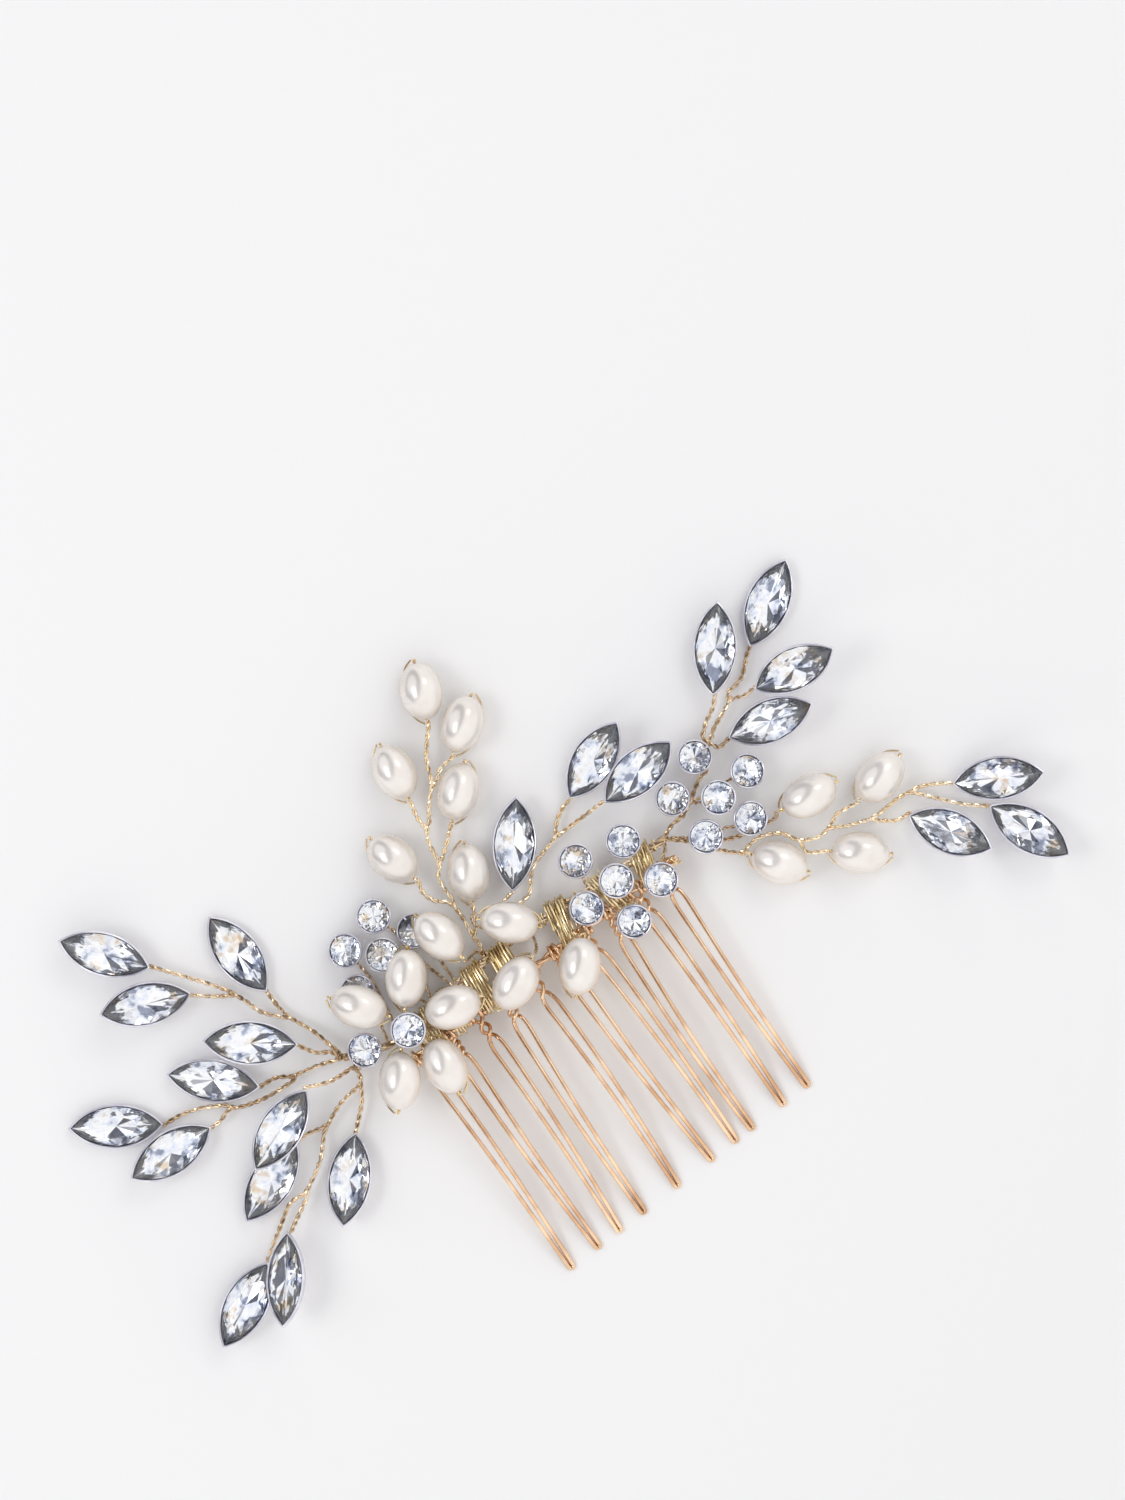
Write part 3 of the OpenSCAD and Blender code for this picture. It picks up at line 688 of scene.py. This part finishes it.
def comb_pearl_wires():
    """The wires of the pearls that hang on the comb itself."""
    shape = Shape()
    return_wires(shape, "bead_wires")
    for k in COMB_PEARLS:
        thread(shape, k)
    shape.finish("pearl_wires", [YELLOW_GOLD], "comb", ["bead_wires"])


def bundle_and_stalks():
    """The bundle along the spine, its branches, the stalks, and a bound root for each spray.

    Returns the bundle's own middle line.
    """
    rng = random.Random(11)
    shape = Shape()
    thick = sorted(wires("vine_wires", THICK_SIDES), key=lambda w: -w[1])
    main = min(thick[0][0], thick[0][0][::-1], key=lambda line: line[0].x)
    trunks = [main] + [outward(line, main) for line, _ in thick[1:]]
    dense = [smooth(line, spacing=0.4 * MM) for line in trunks]
    shape.strands(smooth(main, spacing=0.5 * MM), BUNDLE_STRAND_R, BUNDLE_REACH, BUNDLE_PITCH, BUNDLE_STRANDS)
    for n, line in enumerate(trunks[1:], 1):
        stem(shape, joined(line, dense[:n]), n)
    for n, (line, _) in enumerate(wires("vine_wires", THIN_SIDES)):
        stem(shape, joined(outward(line, main), dense), n, STALK_STRAND_R, STALK_PITCH)
    for letter in SPRAYS:
        root = Vector(joints[f"spray_{letter}"]["pos_m"])
        foot = nearest(root, dense)
        if (foot - root).length > LINK_OVER:
            stem(shape, [foot, foot.lerp(root, 0.5) - UP * LINK_SAG, root], 1)
        run = (root - foot).normalized() * ROOT_COIL_RUN
        line = [root - run, root + run * PAST_ROOT]
        coil(shape, line, ROOT_COIL_REACH, ROOT_COIL_PITCH, ROOT_WIRE_R, rng, loose=0.2)
    shape.finish("bundle_wires", [BROWN_GOLD], "comb", ["vine_wires"])
    return dense[0]


def binding(trunk):
    """Fine gold wire wound round spine and bundle, round the bundle alone, and round the spine's ends."""
    rng = random.Random(5)
    shape = Shape()
    rings = [line for line, _ in wires("binding_wire", THIN_SIDES)]
    rings.sort(key=lambda p: sum(q.x for q in p) / len(p))
    steps = int(BINDING_TURNS * TURN_POINTS)
    for g in range(0, len(rings), RINGS):
        points = [q for ring in rings[g:g + RINGS] for q in ring]
        low = Vector(min(q[i] for q in points) for i in range(3))
        high = Vector(max(q[i] for q in points) for i in range(3))
        middle, half = (low + high) / 2, (high - low) / 2
        top = max(rings[g + 1], key=lambda q: q.y)
        foot = min(rings[g + 1], key=lambda q: q.y)
        lean = (top.x - foot.x) / 2
        path = []
        for n in range(steps + 1):
            a = 2 * math.pi * BINDING_TURNS * n / steps
            if n % SQUEEZE_POINTS == 0:
                squeeze = TIGHTEST + (1 - TIGHTEST) * rng.random()
            path.append(Vector((middle.x + (n / steps - 0.5) * BINDING_WIDTH + lean * math.sin(a),
                                middle.y + half.y * squeeze * math.sin(a),
                                middle.z + half.z * squeeze * math.cos(a))))
        shape.tube(smooth(path[::2], spacing=0.25 * MM), BINDING_R, sides=8)
    last = len(trunk) - 1
    for start, end, loose in BOUND:
        part = trunk[int(start * last):int(end * last) + 1:3]
        coil(shape, part, BOUND_REACH, BOUND_PITCH, FINE_R, rng, loose)
    low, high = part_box("comb_spine")
    y, z, r = spine_axis()
    for near, far in ((low.x, low.x + SPINE_END), (high.x - SPINE_END, high.x)):
        line = [Vector((near, y, z)), Vector((far, y, z))]
        coil(shape, line, r + SPINE_LIFT, SPINE_COIL_PITCH, FINE_R, rng)
    shape.finish("binding_coils", [YELLOW_GOLD], "comb", ["binding_wire"])


# ---------------------------------------------------------------- stones and settings
def oval_outline(inset):
    """Points round a pointed oval whose edge lies `inset` inside the setting's outer edge."""
    a, b = NAVETTE_HALF
    r = (a * a + b * b) / (2 * b)
    inner = r - inset
    reach = math.sqrt(inner * inner - (r - b) ** 2)
    points = []
    for k in range(OUTLINE_POINTS):
        t = 2 * math.pi * k / OUTLINE_POINTS
        x = reach * math.cos(t)
        y = math.sqrt(max(inner * inner - x * x, 0)) - (r - b)
        points.append((x, y if math.sin(t) >= 0 else -y))
    return points


def round_outline(inset):
    """Points round a circle that lies `inset` inside the setting's outer edge."""
    r = ROUND_R - inset
    angles = [2 * math.pi * k / OUTLINE_POINTS for k in range(OUTLINE_POINTS)]
    return [(r * math.cos(a), r * math.sin(a)) for a in angles]


# Inset and height in millimetres of a cup's wall, from the middle of its back,
# round the rolled rim, to the inside
NAVETTE_WALL = [(2.2, 0.02), (0.9, 0.0), (0.62, 0.06), (0.4, 0.3), (0.14, 0.8), (0.02, 1.3), (0.0, 1.52),
                (0.06, 1.64), (0.16, 1.7), (0.26, 1.66), (0.33, 1.52), (0.34, 1.3)]
ROUND_WALL = [(2.2, 0.02), (1.0, 0.0), (0.84, 0.05), (0.5, 0.35), (0.1, 0.85), (0.02, 1.05), (0.02, 1.34),
              (0.08, 1.46), (0.16, 1.5), (0.25, 1.46), (0.31, 1.32), (0.32, 1.1)]


def claw(shape, place, angle):
    """A small prong that folds over the stone's edge."""
    out = Vector((math.cos(angle), math.sin(angle), 0))
    path = [place @ (out * r * MM + UP * z * MM) for r, z in CLAW]
    shape.tube(smooth(path, spacing=0.15 * MM), CLAW_R, sides=8)


def settings(node, stone_node, name, body, depth, girdle_z, outline, wall, claws=0):
    """A cup for each stone of the stone node, open at the top and closed at the back."""
    shape = Shape()
    for place in stone_places(stone_node, depth, girdle_z):
        rings = [[place @ Vector((x, y, z * MM)) for x, y in outline(inset * MM)] for inset, z in wall]
        made = shape.skin(rings, closed_ends=False)
        shape.bm.faces.new(made[0])
        for k in range(claws):
            claw(shape, place, math.pi / 4 + 2 * math.pi * k / claws)
    shape.finish(name, [SETTING], body, [node], smooth_angle=50)


def stones(node, name, body, depth, girdle_z):
    """Cut stones with the CAD facets, clear above the girdle and foiled below it."""
    bm = bmesh.new()
    bm.from_mesh(nodes[node].data)
    bmesh.ops.remove_doubles(bm, verts=bm.verts, dist=WELD)
    places = stone_places(node, depth, girdle_z)
    girdles = [(place.inverted().to_3x3(), place @ Vector((0, 0, girdle_z))) for place in places]
    bmesh.ops.dissolve_limit(bm, angle_limit=FACET_ANGLE, verts=bm.verts, edges=bm.edges)
    bm.normal_update()
    for f in bm.faces:
        upright, _ = min(girdles, key=lambda girdle: (girdle[1] - f.calc_center_median()).length)
        f.material_index = 1 if (upright @ f.normal).z < 0 else 0
    Shape(bm).finish(name, [CRYSTAL, FOIL], body, [node], smooth_angle=0)


# ---------------------------------------------------------------- pearls
def pearl(k):
    """An oval pearl round its joint's axis, with a softly rounded edge at each end of its hole."""
    body = f"pearl_{k:02d}"
    centre, axis, corners = pearl_measures(k)
    half = max(abs(p.dot(axis)) for p in corners)
    distances = [(p - p.dot(axis) * axis).length for p in corners]
    radius, bore = max(distances), min(distances)
    side = axis.cross(UP).normalized()
    other = axis.cross(side)
    start = math.asin(min(BORE_LIP * bore / radius, 1))
    profile = [(-half * h, bore * r) for h, r in BORE_EDGE]
    for s in range(PEARL_RINGS + 1):
        a = start + (math.pi - 2 * start) * s / PEARL_RINGS
        profile.append((-half * PEARL_FILL[0] * math.cos(a), radius * PEARL_FILL[1] * math.sin(a)))
    profile += [(half * h, bore * r) for h, r in reversed(BORE_EDGE)]
    angles = [2 * math.pi * t / PEARL_SIDES for t in range(PEARL_SIDES)]
    rings = [[centre + axis * h + r * (math.cos(a) * side + math.sin(a) * other) for a in angles]
             for h, r in profile]
    shape = Shape()
    shape.skin(rings, closed_ends=False, loop=True)
    shape.finish(f"bead_{k:02d}", [NACRE], body, [body], smooth_angle=60)


# ---------------------------------------------------------------- the comb
for k in TEETH:
    tooth(k)
spine()
binding(bundle_and_stalks())
for letter in SPRAYS:
    spray_wires(letter)
for letter in STONE_SPRAYS:
    spray = f"spray_{letter}"
    settings(f"{spray}_settings", f"{spray}_stones", f"cups_{letter}", spray,
             NAVETTE_DEPTH, NAVETTE_GIRDLE_Z, oval_outline, NAVETTE_WALL)
    stones(f"{spray}_stones", f"crystals_{letter}", spray, NAVETTE_DEPTH, NAVETTE_GIRDLE_Z)
for cluster in CLUSTERS:
    settings(f"{cluster}_settings", f"{cluster}_stones", f"cups_{cluster}", "comb",
             ROUND_DEPTH, ROUND_GIRDLE_Z, round_outline, ROUND_WALL, CLAWS)
    stones(f"{cluster}_stones", f"crystals_{cluster}", "comb", ROUND_DEPTH, ROUND_GIRDLE_Z)
for k in PEARLS:
    pearl(k)
comb_pearl_wires()


# ---------------------------------------------------------------- floor, light and camera
def floor():
    """A plain sheet of pale paper just under the comb."""
    bpy.ops.mesh.primitive_plane_add(size=FLOOR_SIZE, location=(0, 0, cad_box[0][2] - FLOOR_GAP))
    plane = bpy.context.object
    plane.name = "floor"
    material, _, _ = new_material("floor_paper", (0.905, 0.898, 0.892), metallic=0.0, roughness=0.7)
    plane.data.materials.append(material)


def softboxes():
    """Soft area lights round the comb, each aimed at its middle."""
    for name, azimuth, height, size, power in SOFTBOXES:
        a = math.radians(azimuth)
        place = Vector((SOFTBOX_REACH * math.cos(a), SOFTBOX_REACH * math.sin(a), height))
        data = bpy.data.lights.new(name, "AREA")
        data.shape = "RECTANGLE"
        data.size, data.size_y = size, size * SOFTBOX_ASPECT
        data.energy = power
        lamp = bpy.data.objects.new(name, data)
        lamp.location = place
        lamp.rotation_euler = (-place).to_track_quat("-Z", "Y").to_euler()
        scene.collection.objects.link(lamp)


def sky():
    """Soft white light from all round, with one slate side."""
    world = bpy.data.worlds.new("studio")
    scene.world = world
    world.use_nodes = True
    tree = world.node_tree
    place = tree.nodes.new("ShaderNodeTexCoord")
    turn = tree.nodes.new("ShaderNodeMapping")
    turn.vector_type = "TEXTURE"
    turn.inputs["Rotation"].default_value = SKY_TURN
    split = tree.nodes.new("ShaderNodeSeparateXYZ")
    tree.links.new(place.outputs["Generated"], turn.inputs["Vector"])
    tree.links.new(turn.outputs["Vector"], split.inputs["Vector"])
    shade = ramp(tree, split.outputs["Z"], [(0.0, (0.87, 0.865, 0.87)), (0.50, (0.96, 0.955, 0.955)),
                                            (0.60, (0.90, 0.90, 0.92)), (0.66, (0.06, 0.065, 0.09)),
                                            (0.84, (0.05, 0.055, 0.085)), (0.90, (0.85, 0.86, 0.90))])
    back = tree.nodes["Background"]
    tree.links.new(shade.outputs["Color"], back.inputs["Color"])
    back.inputs["Strength"].default_value = SKY_STRENGTH


def camera():
    """Straight above the comb, turned so that the spine climbs to the right."""
    data = bpy.data.cameras.new("camera")
    data.lens = 100
    data.sensor_fit = "VERTICAL"
    data.sensor_height = 36
    data.clip_start = 0.01
    view = bpy.data.objects.new("camera", data)
    right = Vector((math.cos(CAMERA_TURN), -math.sin(CAMERA_TURN), 0))
    up = Vector((math.sin(CAMERA_TURN), math.cos(CAMERA_TURN), 0))
    distance = FRAME_HEIGHT * data.lens / data.sensor_height
    place = Matrix.Translation(Vector((*CAMERA_OVER, distance + FRAME_LEVEL)))
    view.matrix_world = place @ Matrix((right, up, UP)).transposed().to_4x4()
    scene.collection.objects.link(view)
    scene.camera = view


floor()
sky()
softboxes()
camera()
scene.view_settings.view_transform = "Standard"
